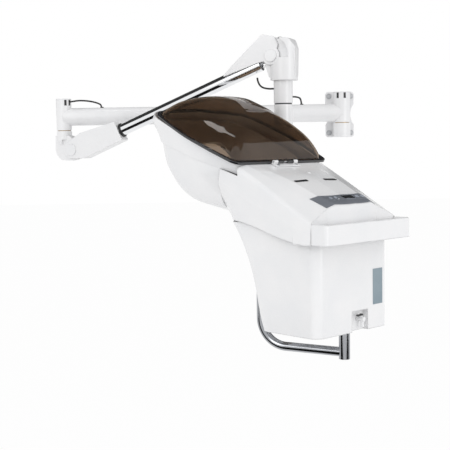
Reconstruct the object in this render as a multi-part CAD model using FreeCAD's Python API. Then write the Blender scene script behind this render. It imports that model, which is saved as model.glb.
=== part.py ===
import FreeCAD, Part
import math
import os

V = FreeCAD.Vector

# Placing of the sub-frames in the row frame: X right, Y into the wall, Z up, millimetres.
POST_X = -955.5
POST_Y = -75.0
ARM_YAW = -23.003
DROP_REACH = 798.7
LOW_PIVOT_X = 38.2
LOW_PIVOT_Z = -109.4
HEAD_PIVOT_X = -32.2
HEAD_PIVOT_Z = 172.5
ARM_RISE = 21.16
ARM_LENGTH = 780.95
MACHINE_TURN = 134.0
MACHINE_AT = V(-71.0, -908.8, -598.0)

# Wall plate and its post.
PLATE_W = 99.0
PLATE_H = 158.0
PLATE_T = 12.0
BOLT_X = 76.0
BOLT_Z = 127.0
BOLT_HOLE_R = 5.5
WALL_R = 29.0
WALL_SPINDLE_R = 15.0
SUPPORT_Z0 = -79.0
SUPPORT_Z1 = -31.0
WALL_SLEEVE_Z0 = -28.9
WALL_SLEEVE_Z1 = 72.0

# Long arm and elbow.
LONG_R = 30.0
LONG_Z = 4.0
LONG_WALL = 3.0
ELBOW_R = 25.75
ELBOW_SPINDLE_R = 13.0
ELBOW_Z0 = -41.9
ELBOW_Z1 = 62.0
LUG_HALF = 17.5
PIN_R = 6.0
ROD_DROP = 20.0
ROD_R = 3.0
ROD_PIN_R = 4.0
EYE_R = 7.5
EYE_HALF = 4.0
SLOT_HALF = 4.3
RUN_GAP = 0.05

# Spring arm.
CHEEK_IN = 18.2
CHEEK_OUT = 23.2
COVER_IN = 20.2
COVER_OUT = 24.6
DISC_R = 29.0
TUBE_R = 20.0
TUBE_B = -8.0
TUBE_A0 = 150.0
TUBE_A1 = 735.0

# Head, drop tube and hanger.
DROP_R = 29.2
DROP_WALL = 4.0
SEAM_Z = 26.0
HEAD_Z = 96.0
HANGER_U = 479.0
HANGER_W = 255.0
HANGER_H = 330.0
HANGER_BEND = 45.0
HANGER_ARM_R = 22.0
TILT_U = 250.0

# Machine casing.
CASE_HALF = 150.0
SKIN = 3.0
FRONT_LINE = ((0.0, 205.0), (53.0, 222.0), (127.0, 239.0), (202.0, 267.0), (250.0, 293.0), (287.0, 319.0))
LEDGE_U = -53.0
LEDGE_HALF = 175.0
LEDGE_H0 = 242.5
LEDGE_H1 = 295.0
TRAY_H = 288.0
DECK_RISE = 24.9
RIM_U = 250.0
RIM_H = 443.0
RIM_RISE = 24.0

# Upper casing sections: u, foot w, foot h, side w, side h, wing w, wing h, deck edge w, deck edge h, crown.
CASING = (
    (-6.0, 175.0, 242.5, 176.0, 268.0, 174.5, 296.0, 98.5, 324.0, 10.0),
    (40.0, 175.0, 242.5, 176.5, 280.0, 174.5, 320.0, 108.5, 345.3, 10.0),
    (100.0, 170.0, 252.0, 174.5, 302.0, 174.5, 354.0, 120.0, 373.2, 10.0),
    (160.0, 164.0, 265.0, 172.5, 325.0, 175.0, 388.0, 130.0, 401.0, 8.0),
    (220.0, 158.5, 280.0, 171.0, 345.0, 177.5, 420.0, 141.0, 429.0, 1.2),
    (270.0, 156.0, 289.0, 173.0, 372.0, 182.0, 446.0, 150.0, 452.2, 0.6),
    (320.0, 128.0, 290.5, 178.0, 395.0, 186.0, 472.0, 160.0, 475.5, 0.6),
    (375.0, 105.0, 310.0, 178.0, 395.0, 189.0, 498.0, 168.0, 501.0, 0.6),
)

# Bowl sections: height, front u, half width, corner radius.
BOWL = (
    (311.0, 395.0, 105.0, 50.0),
    (322.0, 450.0, 125.0, 60.0),
    (335.0, 490.0, 145.0, 70.0),
    (363.0, 535.0, 165.0, 70.0),
    (412.0, 572.0, 183.0, 75.0),
    (448.0, 592.0, 193.0, 70.0),
    (487.0, 600.0, 199.0, 75.0),
    (516.0, 606.0, 204.0, 86.0),
    (600.0, 613.0, 210.0, 86.0),
)
CREASE_STEP = 4.0
FLANGE_T = 7.0
FLANGE_LIP = 13.0
# Visor outline in the rim plane: distance from the rear edge, half width, corner radius.
VISOR = (
    (0.0, 187.0, 26.0),
    (86.5, 203.0, 300.0),
    (186.0, 213.0, 300.0),
    (268.0, 204.5, 260.0),
    (352.0, 191.0, 55.0),
    (380.0, 118.0, 120.0),
    (396.0, 0.0, 300.0),
)
DOME_LEVELS = (
    (0.0, 1.0),
    (12.0, 0.965),
    (26.0, 0.91),
    (42.0, 0.83),
    (58.0, 0.715),
    (72.0, 0.575),
    (83.0, 0.42),
    (90.0, 0.26),
)
DOME_TOP = 94.0
DOME_MID = 212.0
DOME_T = 3.0
HINGE_S = -6.0
HINGE_N = 8.5

# Fan place in the machine frame.
FAN_U = 138.0
FAN_Y = -62.0

# Carrying pipe and stand socket.
PIPE_R = 12.5
PIPE_H = -58.0
PIPE_BEND = 75.0
PIPE_U = 273.0
PIPE_W = -70.0
SOCKET_U = 35.0
SOCKET_R = 15.0
SOCKET_BORE = 12.5
SOCKET_H0 = -76.0

BUTTONS = (
    ("button_less", -56.0, 5.5),
    ("button_more", -36.0, 5.5),
    ("button_start", 52.0, 6.5),
    ("button_power", 75.0, 6.5),
)
BUTTON_U = 33.0


def unit(a, b):
    """Return the direction from a to b."""
    d = b.sub(a)
    d.normalize()
    return d


def corner(prev, here, after, radius):
    """Return start, middle and end of the arc that rounds one corner."""
    a = unit(here, prev)
    b = unit(here, after)
    half = a.getAngle(b) / 2.0
    if half > 1.5707:
        return here, None, here
    reach = radius / math.tan(half)
    limit = 0.48 * min(here.distanceToPoint(prev), here.distanceToPoint(after))
    reach = min(reach, limit)
    radius = reach * math.tan(half)
    bis = a.add(b)
    bis.normalize()
    mid = here.add(bis.multiply(radius / math.sin(half) - radius))
    return here.add(a.multiply(reach)), mid, here.add(b.multiply(reach))


def rounded(points, radii):
    """Return a closed wire through the points with rounded corners."""
    count = len(points)
    arcs = []
    for i in range(count):
        if radii[i] > 0:
            arcs.append(corner(points[i - 1], points[i], points[(i + 1) % count], radii[i]))
        else:
            arcs.append((points[i], None, points[i]))
    edges = []
    for i in range(count):
        start, mid, end = arcs[i]
        if mid is not None:
            edges.append(Part.Arc(start, mid, end).toShape())
        edges.append(Part.makeLine(end, arcs[(i + 1) % count][0]))
    return Part.Wire(edges)


def prism(points, radii, along):
    """Return the rounded outline pushed along a vector."""
    if not isinstance(radii, (list, tuple)):
        radii = [radii] * len(points)
    return Part.Face(rounded(points, radii)).extrude(along)


def slab(pairs, radii, y0, y1):
    """Return an x-z outline pushed from y0 to y1."""
    points = [V(x, y0, z) for x, z in pairs]
    return prism(points, radii, V(0, y1 - y0, 0))


def plan(pairs, radii, z0, z1):
    """Return an x-y outline pushed from z0 to z1."""
    points = [V(x, y, z0) for x, y in pairs]
    return prism(points, radii, V(0, 0, z1 - z0))


def block(x0, x1, y0, y1, z0, z1):
    """Return a box from its limits."""
    return Part.makeBox(x1 - x0, y1 - y0, z1 - z0, V(x0, y0, z0))


def post(r, z0, z1, x=0.0, y=0.0):
    """Return a vertical cylinder."""
    return Part.makeCylinder(r, z1 - z0, V(x, y, z0))


def ring(r, bore, z0, z1, x=0.0, y=0.0):
    """Return a vertical ring."""
    return post(r, z0, z1, x, y).cut(post(bore, z0 - 1, z1 + 1, x, y))


def lying(r, x, z, y0, y1):
    """Return a cylinder along y."""
    return Part.makeCylinder(r, y1 - y0, V(x, y0, z), V(0, 1, 0))


def along(r, x0, x1, z, y=0.0):
    """Return a cylinder along x."""
    return Part.makeCylinder(r, x1 - x0, V(x0, y, z), V(1, 0, 0))


def join(*shapes):
    """Return the union of the shapes."""
    return shapes[0].multiFuse(list(shapes[1:])).removeSplitter()


def minus(base, *tools):
    """Return the base with every tool cut away."""
    for tool in tools:
        base = base.cut(tool)
    return base


def soft(shape, radius, keep):
    """Round the edges that keep() picks."""
    edges = [e for e in shape.Edges if keep(e)]
    return shape.makeFillet(radius, edges)


def flat_at(axis, value):
    """Return a test for edges lying in one plane across an axis."""
    def test(edge):
        box = edge.BoundBox
        low = getattr(box, axis + "Min")
        high = getattr(box, axis + "Max")
        return abs(low - value) < 0.01 and abs(high - value) < 0.01
    return test


def outer_edges(half):
    """Return a test for the edges of both outer faces across y."""
    def test(edge):
        return flat_at("Y", half)(edge) or flat_at("Y", -half)(edge)
    return test


def tube_path(points, bend):
    """Return a wire of straight runs joined by tangent arcs."""
    edges = []
    last = points[0]
    for i in range(1, len(points) - 1):
        start, mid, end = corner(points[i - 1], points[i], points[i + 1], bend)
        edges.append(Part.makeLine(last, start))
        if mid is not None:
            edges.append(Part.Arc(start, mid, end).toShape())
        last = end
    edges.append(Part.makeLine(last, points[-1]))
    return Part.Wire(edges)


def sweep(points, bend, radius):
    """Return a round bar along a bent path."""
    path = tube_path(points, bend)
    start = unit(points[0], points[1])
    section = Part.Wire(Part.makeCircle(radius, points[0], start))
    return path.makePipeShell([section], True, False)


def to_arm(shape):
    """Place an arm-frame shape: x along the arm from the low pivot."""
    out = shape.copy()
    out.rotate(V(0, 0, 0), V(0, 1, 0), -ARM_RISE)
    out.translate(V(LOW_PIVOT_X, 0, LOW_PIVOT_Z))
    return to_elbow(out)


def to_elbow(shape):
    """Place an elbow-frame shape: x along the arm from the elbow post."""
    out = shape.copy()
    out.rotate(V(0, 0, 0), V(0, 0, 1), ARM_YAW)
    out.translate(V(POST_X, POST_Y, 0))
    return out


def to_head(shape):
    """Place a head-frame shape: x along the arm from the drop axis."""
    out = shape.copy()
    out.translate(V(DROP_REACH, 0, 0))
    return to_elbow(out)


def to_machine(shape):
    """Place a machine-frame shape: x forward, y to the near side, z up."""
    out = shape.copy()
    out.rotate(V(0, 0, 0), V(0, 0, 1), MACHINE_TURN)
    out.translate(MACHINE_AT)
    return out


def to_rim(shape):
    """Place a rim-plane shape in the machine frame."""
    out = shape.copy()
    out.rotate(V(0, 0, 0), V(0, 1, 0), -RIM_RISE)
    out.translate(V(RIM_U, 0, RIM_H))
    return out


def deck_h(u, w):
    """Return the deck height of the middle field."""
    crown = 10.0
    base = 330.0 + 0.4645 * (u - 7.0)
    return base + crown + 3.0 * (1.0 - abs(w) / 85.0)


def to_deck(shape, u, w):
    """Stand a z-up shape on the deck."""
    out = shape.copy()
    out.rotate(V(0, 0, 0), V(0, 1, 0), -DECK_RISE)
    out.translate(V(u, -w, deck_h(u, w)))
    return out


# Wall group

def wall_plate():
    """Make the wall plate with four lugs and concave sides."""
    w = PLATE_W / 2
    h = PLATE_H / 2
    plate = slab([(-w, -h), (w, -h), (w, h), (-w, h)], 11.0, -PLATE_T, 0)
    for side in (-1, 1):
        plate = plate.cut(lying(62.0, side * (w + 50.0), 0, -50, 10))
        plate = plate.cut(lying(36.0, 0, side * (h + 27.0), -50, 10))
    plate = soft(plate, 2.5, flat_at("Y", -PLATE_T))
    for x in (-BOLT_X / 2, BOLT_X / 2):
        for z in (-BOLT_Z / 2, BOLT_Z / 2):
            plate = plate.cut(lying(BOLT_HOLE_R, x, z, -50, 10))
    return plate


def wall_support():
    """Make the fixed support that carries the post."""
    body = post(WALL_R, SUPPORT_Z0, SUPPORT_Z1, 0, POST_Y)
    web = block(-23, 23, POST_Y, -PLATE_T, SUPPORT_Z0 + 2, SUPPORT_Z1 - 2)
    back = block(-27, 27, -PLATE_T - 9, -PLATE_T, -72, 44)
    body = join(body, web, back)
    body = soft(body, 1.5, flat_at("Z", SUPPORT_Z0))
    bar = post(WALL_SPINDLE_R, SUPPORT_Z1 - 1, 70, 0, POST_Y)
    return join(body, bar).cut(post(5, 40, 71, 0, POST_Y))


def wall_sleeve():
    """Make the turning sleeve on the wall post."""
    body = post(WALL_R, WALL_SLEEVE_Z0, WALL_SLEEVE_Z1, 0, POST_Y)
    body = soft(body, 1.5, flat_at("Z", WALL_SLEEVE_Z0))
    return body.cut(post(19.0, -60, 80, 0, POST_Y))


def arm_bushes():
    """Make the bushes and thrust rings of both posts of the long arm."""
    rings = []
    for x, r, outer, z0, z1, z2 in ((0.0, WALL_SPINDLE_R, 18.99, WALL_SLEEVE_Z0, SUPPORT_Z1 + 0.1, 48.0),
                                    (POST_X, ELBOW_SPINDLE_R, 16.99, ELBOW_Z0, -43.9, 24.0)):
        bore = r + RUN_GAP
        low = ring(outer, bore, z0, z0 + 20, x, POST_Y)
        thrust = ring(outer + 5.0, bore, z1, z0, x, POST_Y)
        rings.append(join(low, thrust))
        rings.append(ring(outer, bore, z2, z2 + 20, x, POST_Y))
    return Part.makeCompound(rings)


def cap(r, z0, z1, x, y, turn):
    """Make a post cap with a coin slot."""
    body = post(r, z0, z1, x, y)
    body = soft(body, 1.2, flat_at("Z", z1))
    slot = block(-r * 0.62, r * 0.62, -1.6, 1.6, z1 - 1.6, z1 + 1)
    slot.rotate(V(0, 0, 0), V(0, 0, 1), turn)
    slot.translate(V(x, y, 0))
    return body.cut(slot)


def long_arm_tube():
    """Make the long level tube with its two lead holes."""
    tube = along(LONG_R, POST_X, 0, LONG_Z, POST_Y)
    bore = along(LONG_R - LONG_WALL, POST_X, 0, LONG_Z, POST_Y)
    tube = minus(tube, bore, post(WALL_R, -80, 90, 0, POST_Y), post(ELBOW_R, -80, 90, POST_X, POST_Y))
    holes = [post(6.0, 10, 60, -824, POST_Y), post(6.0, 10, 60, -138, POST_Y)]
    side = Part.makeCylinder(5.2, 40, V(-212, -70, 6), V(0, 0.88, 0.475))
    return minus(tube, holes[0], holes[1], side)


def arm_grommets():
    """Make the three rubber grommets of the long tube."""
    rings = []
    for x in (-824, -138):
        rings.append(ring(5.95, 3.2, 30.8, 36.5, x, POST_Y))
    side = Part.makeCylinder(5.1, 12, V(-212, -70 + 0.88 * 27.0, 6 + 0.475 * 27.0), V(0, 0.88, 0.475))
    rings.append(side.cut(Part.makeCylinder(3.2, 40, V(-212, -70, 6), V(0, 0.88, 0.475))))
    return Part.makeCompound(rings)


def elbow_sleeve():
    """Make the sleeve at the far end of the long arm."""
    body = post(ELBOW_R, ELBOW_Z0, ELBOW_Z1, POST_X, POST_Y)
    body = soft(body, 1.2, flat_at("Z", ELBOW_Z0))
    body = body.cut(post(17.0, -60, 80, POST_X, POST_Y))
    return body.cut(Part.makeCylinder(3.4, 30, V(-946, -82, 55), V(0.89, -0.45, 0)))


def arm_lead_left():
    """Make the short lead from the elbow cap into the long tube."""
    points = [V(-940, -85.0, 55), V(-926, -92.1, 55), V(-902, -94, 59), V(-866, -88, 57), V(-838, -78, 50),
              V(-824, -75, 42), V(-824, -75, 16)]
    return sweep(points, 9.0, 2.8)


def arm_lead_right():
    """Make the short lead that loops between two holes of the long tube."""
    points = [V(-138, -75, 14), V(-138, -75, 52), V(-152, -72, 61), V(-184, -56, 62), V(-212, -22.5, 31.64),
              V(-212, -62, 10.32)]
    return sweep(points, 9.0, 2.8)


# Elbow group, elbow frame

def lug_slot(x, z, toward, reach):
    """Return the wedge that lets the level rod swing inside a lug."""
    pairs = [(x - toward * 9, z - ROD_DROP - 9), (x - toward * 9, z - 13.5), (x + toward * 9, z - 10.5),
             (x + toward * 48, z + reach), (x + toward * 48, z - 75), (x - toward * 9, z - 75)]
    return slab(pairs, 0.5, -SLOT_HALF, SLOT_HALF)


def elbow_knuckle():
    """Make the gooseneck that carries the spring arm."""
    x = LOW_PIVOT_X
    z = LOW_PIVOT_Z
    top = post(ELBOW_R, -74, -44)
    pairs = [(-25.7, -60), (25.7, -60), (62, -84), (72.5, z), (64, -138), (30, -145.5), (-6, -143),
             (-25.7, -118)]
    lug = slab(pairs, [2, 14, 22, 26, 24, 30, 22, 26], -LUG_HALF, LUG_HALF)
    skirt = Part.makeSphere(ELBOW_R, V(0, 0, -74))
    keep = block(-40, 4, -40, 40, -110, -60)
    body = join(top, lug, skirt.common(keep))
    clear = lying(DISC_R + 2.5, x, z, -40, 40)
    side = clear.cut(block(-60, 90, -LUG_HALF, LUG_HALF, -200, 0))
    body = body.cut(side)
    body = join(body, post(ELBOW_SPINDLE_R, -46, 46))
    body = body.cut(lying(PIN_R + RUN_GAP, x, z, -40, 40))
    body = body.cut(lying(ROD_PIN_R + RUN_GAP, x, z - ROD_DROP, -12, 12))
    return body.cut(lug_slot(x, z, 1, 14))


# Spring arm group, arm frame

def arm_lower_housing():
    """Make the tapered white housing with its two pivot cheeks."""
    outer = [(-6, 29), (54, 41), (191, 24.3), (196, -42.8), (39, -45.2), (-6, -29)]
    shell = slab(outer, [6, 12, 3, 4, 10, 6], -CHEEK_OUT, CHEEK_OUT)
    shell = soft(shell, 2.0, outer_edges(CHEEK_OUT))
    disc = soft(lying(DISC_R, 0, 0, -CHEEK_OUT, CHEEK_OUT), 2.0, outer_edges(CHEEK_OUT))
    body = join(shell, disc)
    inner = [(-60, 60), (45, 60), (47, 37.0), (187, 20.6), (190, -39.5), (42, -41.5), (40, -60), (-60, -60)]
    body = body.cut(slab(inner, 0.5, -CHEEK_IN, CHEEK_IN))
    body = body.cut(along(TUBE_R, 100, 260, TUBE_B))
    return body.cut(lying(PIN_R, 0, 0, -60, 60))


def arm_tube():
    """Make the long chrome tube."""
    tube = along(TUBE_R, TUBE_A0, TUBE_A1, TUBE_B)
    return tube.cut(along(TUBE_R - 2.0, TUBE_A0 - 1, TUBE_A1 + 1, TUBE_B))


def arm_collar():
    """Make the black collar where the tube leaves the housing."""
    out = along(23.0, 196.2, 204, TUBE_B)
    out = soft(out, 1.5, flat_at("X", 204))
    return out.cut(along(TUBE_R, 190, 210, TUBE_B))


def arm_upper_cover():
    """Make the white cover over the upper end of the tube."""
    e = ARM_LENGTH
    outer = [(610, 3), (617, 9), (655, 26), (779.5, 72.5), (813.5, 50), (816, 22), (e, -20), (757, -8),
             (730, -4)]
    shell = slab(outer, [1, 3, 20, 9, 9, 8, 5, 12, 20], -COVER_OUT, COVER_OUT)
    shell = soft(shell, 2.0, outer_edges(COVER_OUT))
    disc = soft(lying(DISC_R, e, 0, -COVER_OUT, COVER_OUT), 2.0, outer_edges(COVER_OUT))
    body = join(shell, disc)
    inner = [(600, -60), (600, 5), (656, 22.4), (772, 65.6), (776, 120), (860, 120), (860, -60)]
    body = body.cut(slab(inner, 0.5, -COVER_IN, COVER_IN))
    wall = block(727, 735, -COVER_IN, COVER_IN, -6, 52)
    body = join(body, wall)
    body = body.cut(along(TUBE_R, 560, 735.5, TUBE_B))
    return body.cut(lying(PIN_R, e, 0, -60, 60))


def balance_spring():
    """Make the balance spring as a plain sleeve between its two plugs."""
    body = along(8.5, TUBE_A0 + 13, TUBE_A1 - 14, -2.5)
    plugs = [body.cut(along(6.0, TUBE_A0 + 12, TUBE_A1 - 13, -2.5))]
    for a in (TUBE_A0 + 3, TUBE_A1 - 14):
        disc = along(TUBE_R - 2.02, a, a + 10, TUBE_B)
        way = block(a - 1, a + 11, -5.5, 5.5, -30, -12.6)
        plugs.append(disc.cut(way))
    return join(*plugs)


def pivot_caps(a, y, r):
    """Make the pair of round covers on a pivot."""
    caps = []
    for side in (-1, 1):
        y0 = y if side > 0 else -y - 3.0
        disc = lying(r, a, 0, y0, y0 + 3.0)
        disc = soft(disc, 1.6, flat_at("Y", side * (y + 3.0)))
        caps.append(disc)
    return Part.makeCompound(caps)


def level_rod():
    """Make the rod that keeps the head level, drawn along x between its pins."""
    bar = along(ROD_R, 5.0, ARM_LENGTH - 5.0, 0)
    eyes = [lying(EYE_R, x, 0, -EYE_HALF, EYE_HALF) for x in (0, ARM_LENGTH)]
    body = join(bar, eyes[0], eyes[1])
    for x in (0, ARM_LENGTH):
        body = body.cut(lying(ROD_PIN_R, x, 0, -10, 10))
    return body


def rod_pins():
    """Make the two pins of the level rod."""
    return Part.makeCompound([lying(ROD_PIN_R, x, 0, -11.9, 11.9) for x in (0, ARM_LENGTH)])


def place_rod(shape):
    """Place the level rod below the line of the pivots."""
    out = shape.copy()
    out.rotate(V(0, 0, 0), V(0, 1, 0), -ARM_RISE)
    out.translate(V(LOW_PIVOT_X, 0, LOW_PIVOT_Z - ROD_DROP))
    return to_elbow(out)


# Head group, head frame

def head_elbow():
    """Make the cast head that turns the arm into the drop tube."""
    x = HEAD_PIVOT_X
    z = HEAD_PIVOT_Z
    pairs = [(-38.5, HEAD_Z), (45, HEAD_Z), (46.5, 196), (28, 226), (-16, 224), (-38, 150)]
    full = slab(pairs, [8, 8, 26, 18, 16, 20], -43, 43)
    full = full.common(Part.makeCylinder(42.5, 200, V(4, 0, 60)))
    swept = lying(DISC_R + 2.0, x, z, -60, 60)
    fan = [(x, z - 8), (x + 61, z - 8), (x + 62, z + 30), (x + 40, z + 75), (x - 60, z + 75), (x - 60, z - 8)]
    swept = swept.fuse(slab(fan, 1, -60, 60).common(lying(61.5, x, z, -60, 60)))
    swept = swept.cut(block(-200, 200, -LUG_HALF, LUG_HALF, 0, 400))
    full = full.cut(swept)
    foot = post(38.5, HEAD_Z, HEAD_Z + 20)
    foot = soft(foot, 4.0, flat_at("Z", HEAD_Z))
    lug = [(-40, HEAD_Z + 10), (44, HEAD_Z + 10), (46.4, 196), (28, 225.5), (-10, 224), (x, 203),
           (-62.5, z), (-52, 145)]
    core = slab(lug, [4, 8, 26, 18, 14, 24, 30, 20], -LUG_HALF, LUG_HALF)
    body = join(full, core, foot)
    body = body.cut(foot_clear())
    body = body.cut(lying(PIN_R + RUN_GAP, x, z, -60, 60))
    body = body.cut(lying(ROD_PIN_R + RUN_GAP, x, z - ROD_DROP, -12, 12))
    body = body.cut(post(4.5, 190, 250, -8, 0))
    return body.cut(lug_slot(x, z, -1, 8))


def foot_clear():
    """Return the space in the head's foot for the end of the swivel post."""
    return post(24.0, HEAD_Z - 1, HEAD_Z + 8)


def head_plug():
    """Make the small black plug on top of the head."""
    stem = post(4.4, 200, 224, -8, 0)
    knob = post(7.5, 225.1, 230.5, -8, 0)
    knob = soft(knob, 2.0, flat_at("Z", 230.5))
    neck = post(4.4, 224, 226, -8, 0)
    return join(stem, neck, knob)


def drop_tube():
    """Make the short fixed tube below the head."""
    tube = ring(DROP_R, DROP_R - DROP_WALL, SEAM_Z, HEAD_Z)
    return tube.cut(Part.makeCylinder(2.85, 20, V(-40, 0, 72), V(1, 0, 0)))


def drop_bushes():
    """Make the two bushes of the machine's swivel."""
    bore = ELBOW_SPINDLE_R + RUN_GAP
    rings = [ring(DROP_R - DROP_WALL - 0.01, bore, z, z + 14) for z in (SEAM_Z + 1, 54)]
    return Part.makeCompound(rings)


def head_lead():
    """Make the lead that crosses from the spring arm to the drop tube."""
    points = [V(-84, -4, 108), V(-84, -4, 98), V(-73, -3, 78), V(-50, 0, 72), V(-30, 0, 72), V(-26.5, 0, 72)]
    return sweep(points, 7.0, 2.8)


# Hanger group

def swivel_ring():
    """Make the dark ring at the swivel seam, head frame."""
    return ring(27.0, ELBOW_SPINDLE_R + 0.01, 22, SEAM_Z - 0.1)


def hanger_tube():
    """Make the long part of the drop tube with its swivel post, head frame."""
    low = HANGER_H + HANGER_BEND + MACHINE_AT.z
    tube = ring(WALL_R, 24.92, low, 22)
    return join(tube, post(24.92, 0, 14), post(ELBOW_SPINDLE_R, 14, 90))


def hanger_arm():
    """Make the bent arm from the drop tube to the tilt pivot, machine frame."""
    y = -HANGER_W
    top = HANGER_H + HANGER_BEND
    points = [V(HANGER_U, y, top + 0.0), V(HANGER_U, y, HANGER_H), V(TILT_U, y, HANGER_H)]
    bar = sweep(points, HANGER_BEND, HANGER_ARM_R)
    collar = post(WALL_R, top - 16, top, HANGER_U, y)
    boss = lying(27.0, TILT_U, HANGER_H, -HANGER_W - 23, -HANGER_W + 29)
    body = join(bar, collar, boss)
    return body.cut(lying(10.0 + RUN_GAP, TILT_U, HANGER_H, -HANGER_W - 40, -HANGER_W + 60))


def tilt_bracket():
    """Make the bracket with the tilt pin that carries the casing."""
    boss = lying(25.0, TILT_U, HANGER_H, -HANGER_W + 29.2, -154)
    plate = slab([(205, 308), (272, 308), (272, 372), (205, 372)], 8.0, -155.5, -151)
    pin = lying(10.0, TILT_U, HANGER_H, -HANGER_W - 26, -150)
    head = lying(17.0, TILT_U, HANGER_H, -HANGER_W - 29, -HANGER_W - 23.2)
    return join(boss, plate, pin, head)


def front_at(h):
    """Return the front line of the lower casing at a height."""
    for i in range(len(FRONT_LINE) - 1):
        h0, u0 = FRONT_LINE[i]
        h1, u1 = FRONT_LINE[i + 1]
        if h <= h1:
            return u0 + (u1 - u0) * (h - h0) / (h1 - h0)
    return FRONT_LINE[-1][1]


def lower_form(inset, floor):
    """Return the lower casing's outer or inner form."""
    levels = [floor] + [h for h, u in FRONT_LINE[1:]] + [306.0]
    wires = []
    for h in levels:
        front = front_at(h) if h < 300 else 333.0
        half = CASE_HALF - inset
        tip = front - inset
        points = [V(inset, -half, h), V(tip, -half, h), V(tip, half, h), V(inset, half, h)]
        wires.append(rounded(points, [30 - inset, 35 - inset, 35 - inset, 30 - inset]))
    return Part.makeLoft(wires, True, False)


def lower_top():
    """Return the space above the lower casing's top edge."""
    pairs = [(-30, 251.5), (40, 251.5), (100, 261), (160, 274), (220, 289), (261, 297), (261, 288.4),
             (400, 288.4), (400, 400), (-30, 400)]
    return slab(pairs, 0, -200, 200)


def lower_casing():
    """Make the lower casing with its drain recess."""
    outer = lower_form(0.0, 0.0)
    inner = lower_form(SKIN, SKIN)
    shell = outer.cut(inner)
    pocket = block(-2, 19.0, -59, 14, -1, 58).common(outer)
    shell = join(shell, pocket)
    shell = shell.cut(slab([(-5, -5), (16.0, -5), (16.0, 55), (-5, 55)], [0, 0, 4, 0], -56, 11))
    shell = shell.cut(lower_top())
    shell = shell.cut(post(13.4, -5, 310, PIPE_U, -PIPE_W))
    shell = shell.cut(post(SOCKET_R + 0.5, -5, 10, SOCKET_U, 0))
    shell = shell.cut(Part.makeCylinder(6.4, 30, V(5, -32, 31), V(1, 0, 0)))
    for i in range(9):
        y = -96 + 24 * i
        shell = shell.cut(plan([(72, y - 3), (176, y - 3), (176, y + 3), (72, y + 3)], 2.9, -5, 5))
    return shell


def casing_section(row, inset, foot):
    """Return one section wire of the upper casing."""
    u, wb, hb, ws, hs, ww, hw, wd, hd, crown = row
    t = inset
    right = [(wb - t, hb + foot), (ws - t, hs), (ww - t * 1.15, hw - t * 0.9), (wd - t * 0.3, hd - t * 1.2),
             (wd * 0.74, hd + crown - t * 1.15), (0.0, hd + crown * 1.3 - t * 1.15)]
    left = [(-w, h) for w, h in right[:-1]]
    left.reverse()
    points = [V(u, w, h) for w, h in right + left]
    side = [3.0, 0.0, 12.0, 7.0, 0.0]
    back = list(side)
    back.reverse()
    return rounded(points, side + [0.0] + back)


def casing_form(inset):
    """Return the upper casing's lofted form."""
    wires = []
    for row in CASING:
        foot = 0.0
        if inset > 0:
            foot = -8.0 if row[0] < 300 else inset
        wires.append(casing_section(row, inset, foot))
    return Part.makeLoft(wires, True, False)


def casing_field(t):
    """Return the plan outline that bows the rear face of the block."""
    a = Part.makeLine(V(-4.5 + t, -190, 200), V(7 + t, -101.5, 200))
    b = Part.Arc(V(7 + t, -101.5, 200), V(-5 + t, 0, 200), V(7 + t, 101.5, 200)).toShape()
    c = Part.makeLine(V(7 + t, 101.5, 200), V(-4.5 + t, 190, 200))
    d = Part.makeLine(V(-4.5 + t, 190, 200), V(500, 190, 200))
    e = Part.makeLine(V(500, 190, 200), V(500, -190, 200))
    f = Part.makeLine(V(500, -190, 200), V(-4.5 + t, -190, 200))
    return Part.Face(Part.Wire([a, b, c, d, e, f])).extrude(V(0, 0, 350))


def seam_front(shift):
    """Return everything in front of the sloping body seam."""
    pairs = [(320 + shift, 413), (361 + shift, 275), (361 + shift, 200), (800, 200), (800, 800),
             (205 + shift, 800)]
    return slab(pairs, 0, -300, 300)


def above_crease(shift, rear):
    """Return everything above the crease of the bowl."""
    low = 419 + shift + 0.3125 * (rear - 269)
    pairs = [(rear, low), (800, 419 + shift + 0.3125 * 531), (800, 900), (rear, 900)]
    return slab(pairs, 0, -300, 300)


def upper_casing():
    """Make the upper casing: ledge, tray, wings, deck and neck."""
    corners = [(LEDGE_U, -175), (60, -174.6), (60, 174.6), (LEDGE_U, 175)]
    ledge = plan(corners, [9, 1, 1, 9], LEDGE_H0, LEDGE_H1)
    ledge = soft(ledge, 4.0, lambda e: flat_at("Z", LEDGE_H1)(e) and e.BoundBox.XMax < 58)
    tray = plan([(LEDGE_U + 7, -168), (59, -168), (59, 168), (LEDGE_U + 7, 168)], [7, 1, 1, 7], TRAY_H, 330)
    tray = soft(tray, 3.0, flat_at("Z", TRAY_H))
    ledge = ledge.cut(tray)
    body = casing_form(0.0).common(casing_field(0.0))
    outer = join(ledge, body)
    under = [(LEDGE_U + 3, -172), (30, -171.5), (30, 171.5), (LEDGE_U + 3, 172)]
    hollow = plan(under, [6, 1, 1, 6], 200, 284.6)
    inner = casing_form(SKIN).common(casing_field(SKIN))
    shell = minus(outer, hollow, inner)
    shell = minus(shell, seam_front(0.0), above_crease(0.0, 251.5))
    shell = shell.cut(above_rim(-0.2).common(block(247, 400, -300, 300, 300, 600)))
    shell = shell.cut(post(13.4, 200, 310, PIPE_U, -PIPE_W))
    return shell.cut(lying(25.3, TILT_U, HANGER_H, -200, -150))


def skin_piece(field, low, high):
    """Return a thin sheet of the deck's own surface inside a plan field."""
    top = casing_form(0.0)
    low_form = top.copy()
    low_form.translate(V(0, 0, low))
    high_form = top.copy()
    high_form.translate(V(0, 0, high))
    return field.common(high_form).cut(low_form)


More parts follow.
